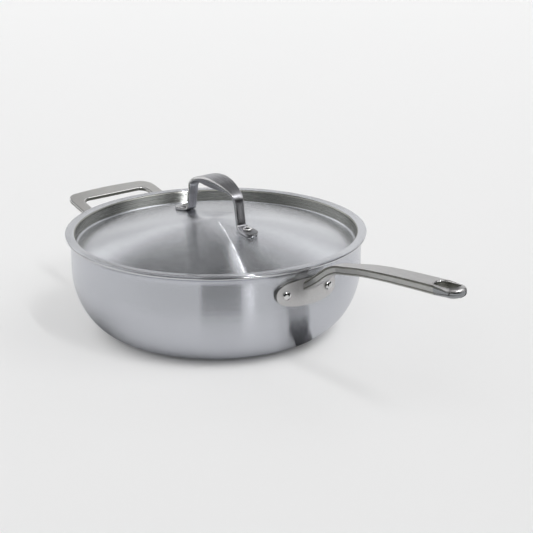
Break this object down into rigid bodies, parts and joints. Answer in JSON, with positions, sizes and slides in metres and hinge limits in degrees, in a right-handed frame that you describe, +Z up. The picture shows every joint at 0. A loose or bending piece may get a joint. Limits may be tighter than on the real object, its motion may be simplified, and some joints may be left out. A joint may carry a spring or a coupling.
{
  "type": "saucier with lid",
  "caption": "Wide round-cornered steel saucier with a flared lip, a domed drop-in lid with a strap handle, one long riveted handle and a helper handle.",
  "frame": {"origin": "centre of the pan's flat base, on the surface that it stands on", "axes": "+Z up along the pan's axis, +X towards the long handle, -X towards the helper handle"},
  "size_m": [0.564, 0.3018, 0.1572],
  "materials": {
    "clad_steel": "bonded clad sheet, brushed round the body",
    "lid_steel": "pressed stainless sheet, brushed round the dome",
    "handle_steel": "cast stainless, satin with a polished nose",
    "strap_steel": "bent stainless strap, satin with polished edges",
    "rivet_steel": "polished stainless"
  },
  "bodies": {
    "pan": {"pan_body": "clad_steel", "long_handle": "handle_steel", "long_handle_rivet_left": "rivet_steel", "long_handle_rivet_right": "rivet_steel", "helper_handle": "handle_steel", "helper_handle_rivet_left": "rivet_steel", "helper_handle_rivet_right": "rivet_steel"},
    "lid": {"lid": "lid_steel", "lid_handle": "strap_steel", "lid_rivet_front": "rivet_steel", "lid_rivet_back": "rivet_steel"}
  },
  "joints": [
    {"name": "lid_lift", "type": "slide", "parent": "pan", "child": "lid", "axis": [0, 0, 1], "range_m": [0, 0.15]}
  ]
}
